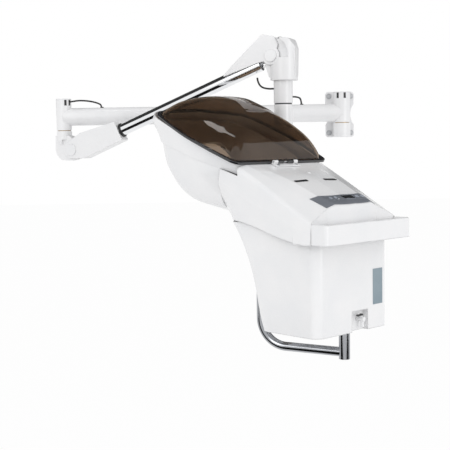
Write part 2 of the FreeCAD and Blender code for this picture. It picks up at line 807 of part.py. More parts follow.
def panel_field(t):
    """Return the plan outline of the control panel."""
    a = Part.Arc(V(9.5 - t, 99.5 + t, 280), V(-2.5 - t, 0, 280), V(9.5 - t, -99.5 - t, 280)).toShape()
    b = Part.makeLine(V(9.5 - t, -99.5 - t, 280), V(57 + t, -110 - t, 280))
    c = Part.Arc(V(57 + t, -110 - t, 280), V(46 + t, 0, 280), V(57 + t, 110 + t, 280)).toShape()
    d = Part.makeLine(V(57 + t, 110 + t, 280), V(9.5 - t, 99.5 + t, 280))
    return Part.Face(Part.Wire([a, b, c, d])).extrude(V(0, 0, 150))


def trim_fields(t):
    """Return the plan outlines of the two deck grilles."""
    fields = []
    for side in (-1, 1):
        y0 = side * 33.0
        y1 = side * 85.0
        low = min(y0, y1)
        high = max(y0, y1)
        corners = [(126 - t, low - t), (135 + t, low - t), (135 + t, high + t), (126 - t, high + t)]
        box = plan(corners, 2.5 + t, 300, 480)
        fields.append(box)
    return Part.makeCompound(fields)


def control_panel():
    """Make the dark panel with its window and button holes."""
    sheet = skin_piece(panel_field(0.0), -1.8, 1.0)
    window = window_field(0.15)
    sheet = sheet.cut(window)
    for name, w, r in BUTTONS:
        sheet = sheet.cut(to_deck(post(r + 0.35, -8, 8), BUTTON_U, w))
    return sheet


def window_field(t):
    """Return the block of the display window standing on the deck."""
    corners = [(-9 - t, -22 - t), (9 + t, -22 - t), (9 + t, 22 + t), (-9 - t, 22 + t)]
    return to_deck(plan(corners, 2.0 + t, -1.0, 8), 31, 12)


def panel_window():
    """Make the black display window."""
    body = plan([(-9, -22), (9, -22), (9, 22), (-9, 22)], 2.0, -0.9, 1.5)
    return to_deck(body, 31, 12)


def button(w, r):
    """Make one push button with its stem."""
    head = post(r, -0.2, 2.8)
    head = soft(head, 0.7, flat_at("Z", 2.8))
    return to_deck(join(head, post(3.0, -10.2, 0)), BUTTON_U, w)


def deck_trims():
    """Make the two dark deck grilles."""
    return skin_piece(trim_fields(0.0), -2.2, 0.3)


def dressed_casing():
    """Return the upper casing with the seats of panel, grilles and buttons."""
    body = upper_casing()
    top = casing_form(0.0)
    top.translate(V(0, 0, -1.8))
    body = body.cut(panel_field(0.2).cut(top))
    body = body.cut(trim_fields(0.15))
    for name, w, r in BUTTONS:
        body = body.cut(to_deck(post(r + 0.35, -20, 8), BUTTON_U, w))
    return body.cut(window_field(0.15))


def bowl_wire(row, inset, step):
    """Return one level section of the bowl."""
    h, front, half, radius = row
    f = front - inset - step
    b = half - inset - step
    rear = 252.0 + inset
    mid = 245.0 + 0.48 * (front - 245.0)
    points = [V(rear, -b + 22, h), V(mid, -b, h), V(f - 10, -b + 20, h), V(f, 0, h), V(f - 10, b - 20, h),
              V(mid, b, h), V(rear, b - 22, h)]
    return rounded(points, [22, 260, radius - inset, 300, radius - inset, 260, 22])


def bowl_form(inset, step):
    """Return the bowl's lofted form."""
    wires = []
    for row in BOWL:
        lift = step if row[0] > 440 else 0.0
        level = (row[0] + (inset if row[0] < 312 else 0.0),) + row[1:]
        wires.append(bowl_wire(level, inset, lift))
    return Part.makeLoft(wires, True, False)


def above_rim(shift):
    """Return everything above the rim plane."""
    k = math.tan(math.radians(RIM_RISE))
    pairs = [(100, RIM_H + shift - 150 * k), (800, RIM_H + shift + 550 * k), (800, 1300), (100, 1300)]
    return slab(pairs, 0, -300, 300)


def head_opening(grow):
    """Return the slanting tool that opens the bowl for the head."""
    a = 152 + grow
    b = 132 + grow
    tool = plan([(-a, -b), (a, -b), (a, b), (-a, b)], 78 + grow, -160, 74)
    tool.rotate(V(0, 0, 0), V(0, 1, 0), -37)
    tool.translate(V(490, 0, 388))
    return tool


def hood_bowl():
    """Make the white bowl with its proud rim band."""
    band = bowl_form(0.0, 0.0).common(above_crease(0.0, 251.7))
    low = bowl_form(0.0, CREASE_STEP).common(seam_front(0.25))
    outer = join(band, low)
    inner_band = bowl_form(SKIN, 0.0).common(above_crease(SKIN, 255.0))
    inner_low = bowl_form(SKIN, CREASE_STEP).common(seam_front(3.3))
    body = minus(outer, inner_band, inner_low, above_rim(0.0))
    body = body.cut(head_opening(0.0))
    duct = Part.makeCylinder(20.4, 90, V(300, -50, 344), V(1, 0, 0.15))
    return body.cut(duct)


def bowl_liner():
    """Make the inner liner of the bowl."""
    outer = bowl_form(15.0, 0.0).common(seam_front(26.0))
    inner = bowl_form(17.5, 0.0).common(seam_front(28.5))
    slice_at = above_rim(-32.0).cut(above_rim(-30.0)).common(block(380, 700, -300, 300, 300, 700))
    ledge = bowl_form(SKIN + 0.1, 0.0).common(slice_at)
    body = join(minus(outer, above_rim(-30.0)), ledge)
    body = minus(body, inner, head_opening(-6.0))
    for y in (-110, -66, -22, 22, 66, 110):
        body = body.cut(plan([(330, y - 16), (400, y - 16), (400, y + 16), (330, y + 16)], 3, 386, 398))
    return body


def visor_wire(inset, level, scale):
    """Return the visor outline inside the rim plane."""
    right = []
    radii = []
    for s, w, r in VISOR:
        x = s
        if s < 1:
            x = s + inset * 1.3
        if s > 370:
            x = s - inset
        if 300 < s < 370:
            x = s - inset * 0.75
        y = max(w - inset, 0.0)
        if 100 < w < 130:
            y = w - inset * 0.4
        right.append((x, y))
        radii.append(r)
    left = [(x, -y) for x, y in right[:-1]]
    left.reverse()
    back = list(radii[:-1])
    back.reverse()
    pairs = right + left
    points = [V(DOME_MID + (x - DOME_MID) * scale, y * scale, level) for x, y in pairs]
    turn = [r * scale for r in radii + back]
    return rounded(points, turn)


def visor_flange():
    """Make the black flange of the visor with its hinge eyes."""
    outer = Part.Face(visor_wire(-1.0, 0.15, 1.0)).extrude(V(0, 0, FLANGE_T))
    outer = soft(outer, 2.0, flat_at("Z", FLANGE_T + 0.15))
    inner = Part.Face(visor_wire(FLANGE_LIP, -1.0, 1.0)).extrude(V(0, 0, FLANGE_T + 3))
    seat = Part.Face(visor_wire(FLANGE_LIP - 5.0, FLANGE_T - 2.0, 1.0)).extrude(V(0, 0, 5))
    body = minus(outer, inner, seat)
    for side in (-1, 1):
        low = 8.0 if side > 0 else -31.5
        eye = lying(4.5, HINGE_S, HINGE_N, low, low + 23.5)
        foot = slab([(HINGE_S, 4.0), (6, 4.0), (6, 7.15), (HINGE_S, HINGE_N)], 0, low, low + 23.5)
        body = join(body, eye, foot)
    return to_rim(body.cut(lying(2.0, HINGE_S, HINGE_N, -60, 60)))


def dome_form(inset, drop):
    """Return the dome's lofted form above the rim plane."""
    parts = []
    for level, scale in DOME_LEVELS:
        height = FLANGE_T - 1.8 + level * (DOME_TOP - drop) / DOME_TOP
        parts.append(visor_wire(FLANGE_LIP - 4.7 + inset, height, scale))
    parts.append(Part.Vertex(V(DOME_MID, 0, FLANGE_T - 1.8 + DOME_TOP - drop)))
    return Part.makeLoft(parts, True, False)


def visor_dome():
    """Make the smoked dome."""
    outer = dome_form(0.0, 0.0)
    inner = dome_form(DOME_T, DOME_T)
    inner.translate(V(0, 0, -0.01))
    return to_rim(outer.cut(inner))


def hinge_plate():
    """Make the hinge plate on the deck behind the visor."""
    body = slab([(-24, 1.1), (-2.4, 1.1), (-2.4, 3.4), (-24, 3.4)], [0.4, 0.4, 0.8, 1.2], -50, 50)
    for low in (-48.0, 32.0):
        eye = lying(4.5, HINGE_S, HINGE_N, low, low + 16.0)
        foot = slab([(-10.4, 1.5), (-2.4, 1.5), (-2.4, 7.6), (-10.4, 7.6)], 0, low, low + 16.0)
        body = join(body, eye, foot)
    for y in (-36.5, 36.5):
        body = body.cut(post(2.2, -5, 10, -17, y))
    return to_rim(body.cut(lying(2.0 + RUN_GAP, HINGE_S, HINGE_N, -60, 60)))


def hinge_pin():
    """Make the pin of the visor hinge."""
    return to_rim(lying(2.0, HINGE_S, HINGE_N, -47.5, 47.5))


def hinge_screws():
    """Make the two screws of the hinge plate."""
    screws = []
    for y in (-36.5, 36.5):
        head = post(4.2, 3.4, 5.6, -17, y)
        head = soft(head, 0.8, flat_at("Z", 5.6))
        stem = post(2.15, 1.2, 3.4, -17, y)
        slot = block(-17 - 3, -17 + 3, y - 0.5, y + 0.5, 4.8, 7)
        screws.append(join(head, stem).cut(slot))
    return to_rim(Part.makeCompound(screws))


def stand_socket():
    """Make the steel socket for the floor stand."""
    return ring(SOCKET_R, SOCKET_BORE, SOCKET_H0, 62, SOCKET_U, 0)


def carry_pipe():
    """Make the bent chrome carrying pipe."""
    points = [V(SOCKET_U, 0, PIPE_H), V(PIPE_U, -PIPE_W, PIPE_H), V(PIPE_U, -PIPE_W, 286)]
    bar = sweep(points, PIPE_BEND, PIPE_R)
    return bar.cut(post(SOCKET_R, -100, 0, SOCKET_U, 0))


def carry_frame():
    """Make the inner steel frame that ties pipe, socket and tilt bracket."""
    foot = plan([(19.6, -40), (60, -40), (60, 40), (19.6, 40)], 2, 6, 9)
    hub = ring(SOCKET_R + 6, SOCKET_R, 6, 40, SOCKET_U, 0).common(block(19.6, 80, -40, 40, 0, 50))
    mast = block(56, 60, -18, 18, 6, 282)
    beam = block(56, 275, 55, 59, 262, 282)
    cross = block(56, 60, -146.5, 59, 262, 282)
    hold = ring(17.0, PIPE_R, 262, 282, PIPE_U, -PIPE_W)
    rail = block(56, 246, -146.5, -143, 262, 282)
    riser = slab([(226, 262), (268, 262), (268, 362), (226, 362)], 2, -146.5, -143)
    pad = block(228, 266, -151, -146, 302, 360)
    body = join(foot, hub, mast, beam, cross, hold, rail, riser, pad)
    body = body.cut(post(SOCKET_R, 0, 60, SOCKET_U, 0))
    body = body.cut(post(PIPE_R, 100, 300, PIPE_U, -PIPE_W))
    return body.cut(lying(10.05, TILT_U, HANGER_H, -200, -100))


def water_tank():
    """Make the water tank."""
    outer = plan([(70, 30), (190, 30), (190, 140), (70, 140)], 12, 22, 190)
    inner = plan([(72, 32), (188, 32), (188, 138), (72, 138)], 10, 24, 188)
    neck = post(18, 188, 204, 95, 85)
    foot = plan([(84, 44), (176, 44), (176, 126), (84, 126)], 6, 3.1, 22.5)
    pipe = sweep([V(80, 33, 31), V(80, -32, 31), V(20.6, -32, 31)], 14, 5.0)
    body = join(outer.cut(inner), neck, pipe, foot)
    return body.cut(sweep([V(80, 36, 31), V(80, -32, 31), V(20.0, -32, 31)], 14, 3.4))


def drain_body():
    """Make the small tap in the drain recess."""
    pipe = Part.makeCylinder(6.2, 26.5, V(-6, -32, 31), V(1, 0, 0))
    nut = Part.makeCylinder(8.6, 4.9, V(11, -32, 31), V(1, 0, 0))
    spout = post(4.6, 10, 31, 0, -32)
    neck = post(5.0, 31, 40, 3, -32)
    body = join(pipe, nut, spout, neck)
    body = body.cut(Part.makeCylinder(3.4, 30, V(2, -32, 31), V(1, 0, 0)))
    body = body.cut(post(2.8, 9, 31, 0, -32))
    return body.cut(post(1.6, 34, 41, 3, -32))


def drain_lever():
    """Make the quarter-turn lever of the tap."""
    hub = post(4.6, 40.1, 44.5, 3, -32)
    arm = plan([(-1, -35), (7, -35), (5.5, -12), (0.5, -12)], 1.5, 40.6, 43.6)
    return join(hub, arm, post(1.5, 34.5, 41, 3, -32))


def rear_plate():
    """Make the plain blue-grey plate on the rear face."""
    return slab([(-0.8, 64), (0, 64), (0, 160), (-0.8, 160)], 0, -119, -78)


def fan_motor():
    """Make the fan motor with its shaft."""
    can = post(30, 42, 92, FAN_U, FAN_Y)
    can = soft(can, 3.0, flat_at("Z", 42.0))
    plate = post(44, 92, 95, FAN_U, FAN_Y)
    foot = join(block(FAN_U - 34, FAN_U + 34, FAN_Y - 8, FAN_Y + 8, 3, 8), post(12, 3, 42, FAN_U, FAN_Y))
    return join(can, plate, foot, post(4.0, 95, 131, FAN_U, FAN_Y))


def fan_housing():
    """Make the scroll housing of the fan."""
    outer = join(post(62, 98, 140, FAN_U, FAN_Y), block(FAN_U, 212, FAN_Y - 62, FAN_Y - 12, 98, 140))
    duct = block(FAN_U, 210, FAN_Y - 59.5, FAN_Y - 14.5, 100.5, 137.5)
    inner = join(post(59.5, 100.5, 137.5, FAN_U, FAN_Y), duct)
    body = outer.cut(inner)
    body = body.cut(post(30, 130, 150, FAN_U, FAN_Y))
    body = body.cut(post(16, 90, 105, FAN_U, FAN_Y))
    body = body.cut(post(17.0, 130, 150, 190, FAN_Y - 37))
    seat = ring(44, 32, 95.1, 98.2, FAN_U, FAN_Y)
    return join(body, seat, ring(24, 21.5, 139.5, 186, 190, FAN_Y - 37))


def impeller():
    """Make the fan wheel."""
    disc = post(52, 104, 106, FAN_U, FAN_Y)
    hub = post(9, 104, 128, FAN_U, FAN_Y)
    rim = ring(52, 38, 131, 133, FAN_U, FAN_Y)
    blades = []
    for i in range(16):
        blade = block(40, 51.5, -0.8, 0.8, 105, 132)
        blade.rotate(V(45, 0, 0), V(0, 0, 1), 28)
        blade.rotate(V(0, 0, 0), V(0, 0, 1), 22.5 * i)
        blade.translate(V(FAN_U, FAN_Y, 0))
        blades.append(blade.common(post(52, 100, 140, FAN_U, FAN_Y)))
    body = join(disc, hub, rim, *blades)
    return body.cut(post(4.0 + RUN_GAP, 100, 140, FAN_U, FAN_Y))


def heater_element():
    """Make the wound heater as plain rings on a cross."""
    y = FAN_Y - 37
    cross = join(block(168.8, 211.2, y - 1, y + 1, 150, 178), block(189, 191, y - 21.2, y + 21.2, 150, 178))
    rings = [ring(16.5, 13.5, z, z + 3, 190, y) for z in (153, 161, 169)]
    return join(cross, *rings)


def air_duct():
    """Make the duct from the heater to the bowl."""
    y = FAN_Y - 37
    points = [V(190, y, 186), V(190, y, 206), V(272, -50, 318), V(330, -50, 348.5), V(345, -50, 350.7)]
    bar = sweep(points, 26, 20.0)
    bore = sweep(points, 26, 18.0)
    return join(bar, post(24, 186.1, 189, 190, y)).cut(bore)


def control_board():
    """Make the circuit board below the panel."""
    board = plan([(-16, -96), (16, -96), (16, 86), (-16, 86)], 2, -15.6, -14.0)
    parts = [board]
    for x, y, w, h in ((-8, -60, 12, 2.0), (6, -30, 10, 2.4), (-6, 10, 16, 2.0), (4, 44, 9, 1.8)):
        parts.append(block(x - w / 2, x + w / 2, y - w, y + w, -15.6 - h * 3, -15.6))
    for x, y in ((-11, -80), (11, -80), (-11, 76), (11, 76)):
        parts.append(post(2.5, -14.1, -5.6 - 1.2, x, y))
    return to_deck(join(*parts), 31, 0)


def pieces():
    """Return every named piece in the row frame."""
    caps = [cap(WALL_R, WALL_SLEEVE_Z1, WALL_SLEEVE_Z1 + 3, 0, POST_Y, 20),
            cap(ELBOW_R, ELBOW_Z1, ELBOW_Z1 + 4, POST_X, POST_Y, -12)]
    pins = [lying(PIN_R, 0, 0, -CHEEK_OUT, CHEEK_OUT), lying(PIN_R, ARM_LENGTH, 0, -COVER_OUT, COVER_OUT)]
    discs = [pivot_caps(0, CHEEK_OUT, 20.0), pivot_caps(ARM_LENGTH, COVER_OUT, 20.0)]
    out = {
        "wall_plate": wall_plate(),
        "wall_support": wall_support(),
        "wall_sleeve": wall_sleeve(),
        "arm_bushes": arm_bushes(),
        "post_caps": Part.makeCompound(caps),
        "long_arm_tube": long_arm_tube(),
        "arm_grommets": arm_grommets(),
        "elbow_sleeve": elbow_sleeve(),
        "arm_lead_left": arm_lead_left(),
        "arm_lead_right": arm_lead_right(),
        "elbow_knuckle": to_elbow(elbow_knuckle()),
        "arm_lower_housing": to_arm(arm_lower_housing()),
        "arm_tube": to_arm(arm_tube()),
        "arm_collar": to_arm(arm_collar()),
        "arm_upper_cover": to_arm(arm_upper_cover()),
        "balance_spring": to_arm(balance_spring()),
        "pivot_pins": to_arm(Part.makeCompound(pins)),
        "pivot_caps": to_arm(Part.makeCompound(discs)),
        "level_rod": place_rod(level_rod()),
        "rod_pins": place_rod(rod_pins()),
        "head_elbow": to_head(head_elbow()),
        "head_plug": to_head(head_plug()),
        "drop_tube": to_head(drop_tube()),
        "drop_bushes": to_head(drop_bushes()),
        "head_lead": to_head(head_lead()),
        "swivel_ring": to_head(swivel_ring()),
        "hanger_tube": to_head(hanger_tube()),
    }
    for name, make in MACHINE_PIECES:
        out[name] = to_machine(make())
    for name, w, r in BUTTONS:
        out[name] = to_machine(button(w, r))
    return out


MACHINE_PIECES = (
    ("hanger_arm", hanger_arm),
    ("tilt_bracket", tilt_bracket),
    ("lower_casing", lower_casing),
    ("upper_casing", dressed_casing),
    ("control_panel", control_panel),
    ("panel_window", panel_window),
    ("deck_trims", deck_trims),
    ("hood_bowl", hood_bowl),
    ("bowl_liner", bowl_liner),
    ("visor_flange", visor_flange),
    ("visor_dome", visor_dome),
    ("hinge_plate", hinge_plate),
    ("hinge_pin", hinge_pin),
    ("hinge_screws", hinge_screws),
    ("stand_socket", stand_socket),
    ("carry_pipe", carry_pipe),
    ("carry_frame", carry_frame),
    ("water_tank", water_tank),
    ("drain_body", drain_body),
    ("drain_lever", drain_lever),
    ("rear_plate", rear_plate),
    ("fan_motor", fan_motor),
    ("fan_housing", fan_housing),
    ("impeller", impeller),
    ("heater_element", heater_element),
    ("air_duct", air_duct),
    ("control_board", control_board),
)


def main():
    """Build and write every piece."""
    os.makedirs("parts", exist_ok=True)
    for name, shape in pieces().items():
        shape.exportStep("parts/" + name + ".step")
        count = len(shape.Solids)
        print(name, "solids", count, "valid", shape.isValid(), "volume", round(shape.Volume / 1000.0, 2))


main()
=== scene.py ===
"""Looks of a wall-mounted hood hair dryer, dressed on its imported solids.

The solids come in as a fixed frame. Each class holds the sizes of one
sub-assembly, builds the small pieces that the solids leave out, and gives
every solid of that sub-assembly its finish.
"""

import logging
import math
from dataclasses import dataclass, field
from enum import Enum

import bpy
from mathutils import Matrix, Vector
from mathutils.bvhtree import BVHTree


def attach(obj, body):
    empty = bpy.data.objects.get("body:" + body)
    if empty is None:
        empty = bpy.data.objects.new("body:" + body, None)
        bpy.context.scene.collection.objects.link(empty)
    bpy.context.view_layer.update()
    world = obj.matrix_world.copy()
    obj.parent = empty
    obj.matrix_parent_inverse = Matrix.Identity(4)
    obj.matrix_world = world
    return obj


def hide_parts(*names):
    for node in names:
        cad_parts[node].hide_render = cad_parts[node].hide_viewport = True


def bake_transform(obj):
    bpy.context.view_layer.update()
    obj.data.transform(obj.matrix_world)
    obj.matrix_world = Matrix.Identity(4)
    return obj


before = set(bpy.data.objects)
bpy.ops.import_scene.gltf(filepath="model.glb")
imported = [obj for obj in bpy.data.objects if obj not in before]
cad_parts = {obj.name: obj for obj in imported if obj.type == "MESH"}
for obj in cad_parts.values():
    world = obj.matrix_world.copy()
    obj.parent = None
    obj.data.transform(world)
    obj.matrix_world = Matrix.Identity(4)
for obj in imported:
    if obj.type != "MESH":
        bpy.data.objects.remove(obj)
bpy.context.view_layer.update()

log = logging.getLogger("hood_dryer")

MM = 0.001
WHITE = (1.0, 1.0, 1.0, 1.0)
RELIEF_DEPTH = 0.0004
COAT_ROUGH = 0.06

Colour = tuple[float, float, float]
Point = tuple[float, float, float]
Pair = tuple[float, float]


class Body(Enum):
    """The moving bodies that new pieces ride on."""

    WALL = "wall"
    LONG_ARM = "long_arm"
    SPRING_ARM = "spring_arm"
    HEAD = "head"
    MACHINE = "machine"


class Slot(Enum):
    """Names of the record's material slots; a new piece's finish is given by name instead."""

    STEEL = "steel"
    BLACK_PLASTIC = "black_plastic"
    RUBBER = "rubber"
    WHITE_PLASTIC = "white_plastic"
    CLEAR_PLASTIC = "clear_plastic"
    WHITE_PAINT = "white_paint"


@dataclass(frozen=True)
class Placing:
    """A sub-assembly's own frame: an origin in mm and a turn about the upright axis."""

    origin: Point = (0.0, 0.0, 0.0)
    turn: float = 0.0

    def point(self, x: float, y: float, z: float) -> Vector:
        """Turn a point of this frame, in mm, into metres of the row frame.

        Args:
            x: distance along the frame's first axis.
            y: distance along its second axis.
            z: height.

        Returns:
            The point in the row frame.
        """
        c, s = math.cos(math.radians(self.turn)), math.sin(math.radians(self.turn))
        ox, oy, oz = self.origin
        return Vector((ox + c * x - s * y, oy + s * x + c * y, oz + z)) * MM


ROW = Placing()
HEAD = Placing((-220.31, -387.12, 0.0), -23.003)
MACHINE = Placing((-71.0, -908.8, -598.0), 134.0)


def link_object(name: str, data: bpy.types.ID) -> bpy.types.Object:
    """Make an object and put it in the scene.

    Args:
        name: its name.
        data: the mesh, curve, lamp or camera that it holds.

    Returns:
        The new object.
    """
    obj = bpy.data.objects.new(name, data)
    bpy.context.scene.collection.objects.link(obj)
    return obj


def opaque(colour: Colour) -> tuple[float, float, float, float]:
    """Return a colour with full alpha."""
    return (*colour, 1.0)


# Shader effects shared by the finishes


class Graph:
    """Short calls to add and join the nodes of one tree."""

    def __init__(self, tree: bpy.types.NodeTree) -> None:
        """Hold the tree."""
        self.tree = tree

    def add(self, kind: str, values: dict | None = None, **settings: object) -> bpy.types.Node:
        """Add a node.

        Args:
            kind: the node's type.
            values: what each input gets, a socket to link or a plain value.
            settings: the node's own properties.

        Returns:
            The new node.
        """
        node = self.tree.nodes.new(kind)
        for name, value in settings.items():
            setattr(node, name, value)
        for name, value in (values or {}).items():
            if isinstance(value, bpy.types.NodeSocket):
                self.tree.links.new(value, node.inputs[name])
            else:
                node.inputs[name].default_value = value
        return node

    def combine(self, operation: str, a: object, b: object) -> bpy.types.NodeSocket:
        """Return the outcome of one calculation of a and b."""
        return self.add("ShaderNodeMath", {0: a, 1: b}, operation=operation).outputs[0]

    def times(self, a: bpy.types.NodeSocket, b: float) -> bpy.types.NodeSocket:
        """Return a socket that holds a times b."""
        return self.combine("MULTIPLY", a, b)

    def mix(self, share: object, a: object, b: object) -> bpy.types.NodeSocket:
        """Return the colour between a and b by share."""
        values = {0: share, 6: a, 7: b}
        return self.add("ShaderNodeMix", values, data_type="RGBA").outputs[2]

    def span(self, value: bpy.types.NodeSocket, source: Pair, target: Pair) -> bpy.types.NodeSocket:
        """Return value carried from one range into another, held inside it."""
        values = {0: value, 1: source[0], 2: source[1], 3: target[0], 4: target[1]}
        return self.add("ShaderNodeMapRange", values).outputs[0]


def emptied(owner: bpy.types.ID) -> Graph:
    """Turn on the nodes of a material or a world, and clear them.

    Args:
        owner: the material or world.

    Returns:
        Its empty graph.
    """
    owner.use_nodes = True
    owner.node_tree.nodes.clear()
    return Graph(owner.node_tree)


class Effects:
    """The shader node groups that more than one finish uses."""

    def __init__(self) -> None:
        """Build each group once."""
        self.grain = self._grain()
        self.edges = self._edges()
        self.crease_shade_and_dirt = self._crease_shade_and_dirt()

    def _new(self, name: str, inputs: dict[str, object], outputs: dict[str, str]) -> tuple:
        """Start a group.

        Args:
            name: the group's name.
            inputs: each input's name and its first value, a number or a vector.
            outputs: each output's name and its socket type.

        Returns:
            The group, its graph, its input sockets and its output node.
        """
        group = bpy.data.node_groups.new(name, "ShaderNodeTree")
        for title, value in inputs.items():
            kind = "NodeSocketFloat" if isinstance(value, float) else "NodeSocketVector"
            socket = group.interface.new_socket(title, in_out="INPUT", socket_type=kind)
            socket.default_value = value
        for title, kind in outputs.items():
            group.interface.new_socket(title, in_out="OUTPUT", socket_type=kind)
        graph = Graph(group)
        entry = graph.add("NodeGroupInput").outputs if inputs else None
        return group, graph, entry, graph.add("NodeGroupOutput")

    def _grain(self) -> bpy.types.NodeTree:
        """Return the group of a fine grain, a broad patch tone and faint streaks."""
        inputs = {"Fine": 900.0, "Broad": 12.0, "Stretch": (1.0, 1.0, 1.0)}
        outputs = {"Grain": "NodeSocketFloat", "Patch": "NodeSocketFloat"}
        group, graph, entry, leave = self._new("surface_grain", inputs, outputs)
        place = graph.add("ShaderNodeTexCoord").outputs["Object"]
        values = {0: place, 1: entry["Stretch"]}
        spread = graph.add("ShaderNodeVectorMath", values, operation="MULTIPLY").outputs[0]
        fine = {"Vector": spread, "Scale": entry["Fine"], "Detail": 2.0, "Roughness": 0.6}
        broad = {"Vector": place, "Scale": entry["Broad"], "Detail": 3.0, "Roughness": 0.5}
        graph.tree.links.new(graph.add("ShaderNodeTexNoise", fine).outputs[0], leave.inputs["Grain"])
        patch = graph.span(graph.add("ShaderNodeTexNoise", broad).outputs[0], (0.36, 0.66), (0.0, 1.0))
        graph.tree.links.new(patch, leave.inputs["Patch"])
        return group

    def _edges(self) -> bpy.types.NodeTree:
        """Return the group that rounds sharp edges and marks where hands rub them."""
        outputs = {"Rub": "NodeSocketFloat", "Round": "NodeSocketVector"}
        group, graph, entry, leave = self._new("edge_rub", {"Radius": 0.0006}, outputs)
        bent = graph.add("ShaderNodeBevel", {"Radius": entry["Radius"]}, samples=4).outputs[0]
        flat = graph.add("ShaderNodeNewGeometry").outputs["Normal"]
        facing = graph.add("ShaderNodeVectorMath", {0: bent, 1: flat}, operation="DOT_PRODUCT")
        rub = graph.span(facing.outputs["Value"], (0.995, 0.9), (0.0, 1.0))
        graph.tree.links.new(rub, leave.inputs["Rub"])
        graph.tree.links.new(bent, leave.inputs["Round"])
        return group

    def _crease_shade_and_dirt(self) -> bpy.types.NodeTree:
        """Return the group whose ambient occlusion mask marks the hollows that light hardly reaches, for
        painted shade and for dirt.
        """
        outputs = {"Dust": "NodeSocketFloat"}
        group, graph, entry, leave = self._new("crease_dust", {"Reach": 0.012}, outputs)
        # The ambient occlusion mask follows where surrounding parts block light; the colour it mixes in is
        # painted shade.
        open_air = graph.add("ShaderNodeAmbientOcclusion", {"Distance": entry["Reach"]}, samples=6)
        dust_and_shade = graph.span(open_air.outputs["AO"], (0.75, 0.2), (0.0, 1.0))
        graph.tree.links.new(dust_and_shade, leave.inputs["Dust"])
        return group


@dataclass(frozen=True)
class Finish:
    """One opaque or frosted finish, with its grain, tone, rubbed edges, and a hollow colour from ambient
    occlusion: painted shade on the pale finishes, paler dirt on the dark ones.
    """

    name: str
    colour: Colour
    tone: Colour
    rough: Pair
    metal: float = 0.0
    coat: float = 0.0
    clear: float = 0.0
    fine: float = 900.0
    broad: float = 12.0
    stretch: Point = (1.0, 1.0, 1.0)
    relief: float = 0.05
    edge_mm: float = 0.6
    rub: Colour = (0.8, 0.8, 0.8)
    rub_share: float = 0.15
    # Colour mixed into the hollows by ambient occlusion: the grey default is painted shade on the pale
    # finishes; the dark finishes take a paler colour, which is dirt.
    dust_and_shade: Colour = (0.32, 0.31, 0.3)
    dust_and_shade_share: float = 0.2

    def build(self, effects: Effects) -> bpy.types.Material:
        """Make the material.

        Args:
            effects: the shared shader groups.

        Returns:
            The material.
        """
        material = bpy.data.materials.new(self.name)
        graph = emptied(material)
        grain = graph.add("ShaderNodeGroup", node_tree=effects.grain)
        grain.inputs["Fine"].default_value = self.fine
        grain.inputs["Broad"].default_value = self.broad
        grain.inputs["Stretch"].default_value = self.stretch
        edges = graph.add("ShaderNodeGroup", node_tree=effects.edges)
        edges.inputs["Radius"].default_value = self.edge_mm * MM
        # Ambient occlusion group: painted shade in the hollows of the pale finishes, paler dirt on the dark
        # ones.
        crease_shade_and_dirt = graph.add("ShaderNodeGroup", node_tree=effects.crease_shade_and_dirt)
        rub = graph.times(edges.outputs["Rub"], self.rub_share)
        dust_and_shade = graph.times(crease_shade_and_dirt.outputs["Dust"], self.dust_and_shade_share)
        toned = graph.mix(grain.outputs["Patch"], opaque(self.colour), opaque(self.tone))
        rubbed = graph.mix(rub, toned, opaque(self.rub))
        dusted_and_shaded = graph.mix(dust_and_shade, rubbed, opaque(self.dust_and_shade))
        rough = graph.span(grain.outputs["Grain"], (0.3, 0.7), self.rough)
        values = {"Strength": self.relief, "Distance": RELIEF_DEPTH, "Height": grain.outputs["Grain"],
                  "Normal": edges.outputs["Round"]}
        bump = graph.add("ShaderNodeBump", values)
        shader = graph.add("ShaderNodeBsdfPrincipled", {
            "Base Color": dusted_and_shaded, "Roughness": rough, "Normal": bump.outputs[0], "Metallic": self.metal,
            "Coat Weight": self.coat, "Coat Roughness": COAT_ROUGH, "Transmission Weight": self.clear})
        graph.add("ShaderNodeOutputMaterial", {"Surface": shader.outputs[0]})
        return material


@dataclass(frozen=True)
class SmokedGlass:
    """The visor's smoked acrylic: a brown tint, hairline scratches and clear shadows."""

    name: str = "smoked_acrylic"
    tint: Colour = (0.23, 0.165, 0.115)
    deepening: float = 0.9
    rough: Pair = (0.0, 0.05)
    bending: float = 1.45
    mirror: float = 0.22
    scratches: float = 420.0
    stretch: Point = (1.0, 9.0, 1.0)

    def build(self, effects: Effects) -> bpy.types.Material:
        """Make the material.

        Args:
            effects: the shared shader groups.

        Returns:
            The material.
        """
        material = bpy.data.materials.new(self.name)
        graph = emptied(material)
        grain = graph.add("ShaderNodeGroup", node_tree=effects.grain)
        grain.inputs["Fine"].default_value = self.scratches
        grain.inputs["Stretch"].default_value = self.stretch
        deep = tuple(self.deepening * c for c in self.tint)
        colour = graph.mix(grain.outputs["Patch"], opaque(self.tint), opaque(deep))
        rough = graph.span(grain.outputs["Grain"], (0.5, 0.8), self.rough)
        shader = graph.add("ShaderNodeBsdfPrincipled", {
            "Base Color": colour, "Roughness": rough, "Metallic": 0.0, "Transmission Weight": 1.0,
            "IOR": self.bending, "Specular IOR Level": self.mirror})
        shade = graph.add("ShaderNodeBsdfTransparent", {"Color": opaque(self.tint)})
        path = graph.add("ShaderNodeLightPath")
        surface = graph.add("ShaderNodeMixShader", {
            0: path.outputs["Is Shadow Ray"], 1: shader.outputs[0], 2: shade.outputs[0]})
        graph.add("ShaderNodeOutputMaterial", {"Surface": surface.outputs[0]})
        return material
